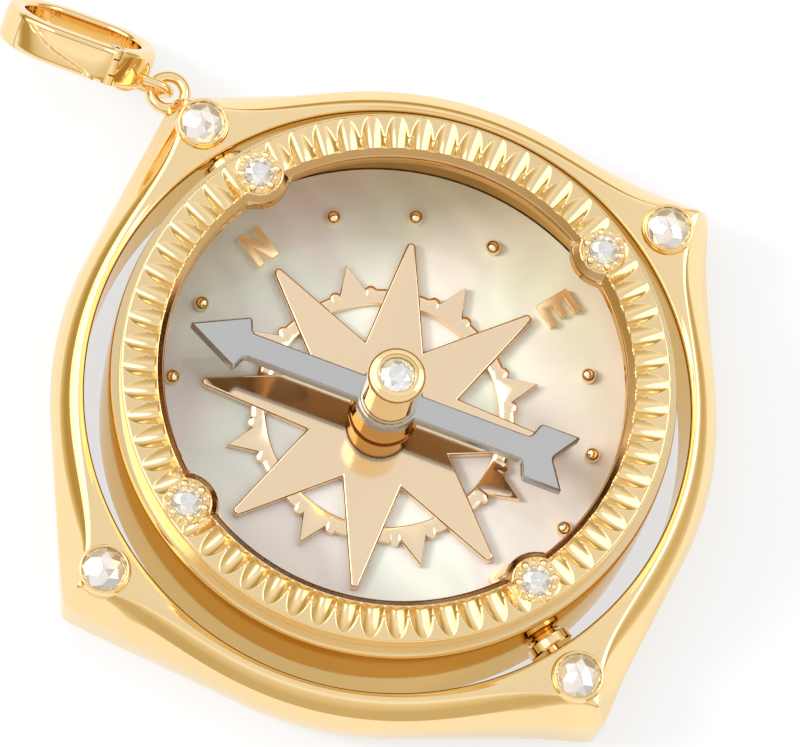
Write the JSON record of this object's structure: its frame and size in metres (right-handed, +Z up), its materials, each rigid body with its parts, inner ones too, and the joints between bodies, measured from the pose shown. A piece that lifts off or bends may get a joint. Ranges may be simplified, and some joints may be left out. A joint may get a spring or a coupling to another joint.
{
  "type": "compass charm pendant",
  "caption": "Gold charm shaped as a gimballed compass: a round case turns on pins in a four-cornered frame, with a freely turning needle and an oval hinged clip ring.",
  "frame": {"origin": "centre of the flat back of the compass case, on the surface that the charm lies on", "axes": "+Z up out of the dial, +Y toward the corner with the hanging loop (compass north), +X toward compass east"},
  "size_m": [0.0382, 0.0469, 0.0087],
  "materials": {
    "polished_gold": "polished yellow gold",
    "satin_gold": "satin yellow gold",
    "white_gold": "bright white gold",
    "clear_stone": "clear faceted stone",
    "mother_of_pearl": "polished mother-of-pearl"
  },
  "bodies": {
    "frame": {"frame": "polished_gold", "frame_stone_n": "clear_stone", "frame_stone_e": "clear_stone", "frame_stone_s": "clear_stone", "frame_stone_w": "clear_stone", "link": "polished_gold", "clip_ring": "polished_gold"},
    "case": {"case": "polished_gold", "bezel": "polished_gold", "bezel_stone_n": "clear_stone", "bezel_stone_e": "clear_stone", "bezel_stone_s": "clear_stone", "bezel_stone_w": "clear_stone", "dial": "mother_of_pearl", "compass_rose": "satin_gold", "letter_n": "satin_gold", "letter_e": "satin_gold", "letter_s": "satin_gold", "letter_w": "satin_gold", "dot_1": "polished_gold", "dot_2": "polished_gold", "dot_3": "polished_gold", "dot_4": "polished_gold", "dot_5": "polished_gold", "dot_6": "polished_gold", "dot_7": "polished_gold", "dot_8": "polished_gold", "dot_9": "polished_gold", "dot_10": "polished_gold", "dot_11": "polished_gold", "dot_12": "polished_gold", "post": "polished_gold", "post_stone": "clear_stone"},
    "needle": {"needle": "white_gold"},
    "clip_gate": {"clip_gate": "polished_gold"}
  },
  "joints": [
    {"name": "case_spin", "type": "hinge", "parent": "frame", "child": "case", "pos_m": [0, 0, 0.0036], "axis": [0, 1, 0], "continuous": true},
    {"name": "needle_spin", "type": "hinge", "parent": "case", "child": "needle", "pos_m": [0, 0, 0.0046], "axis": [0, 0, 1], "continuous": true},
    {"name": "clip_gate_hinge", "type": "hinge", "parent": "frame", "child": "clip_gate", "pos_m": [-0.0022, 0.02168, 0.00485], "axis": [-0.6701, -0.5105, -0.5388], "range_deg": [0, 25], "stiffness_Nm_per_rad": 0.0002, "springref_deg": -11.46}
  ]
}
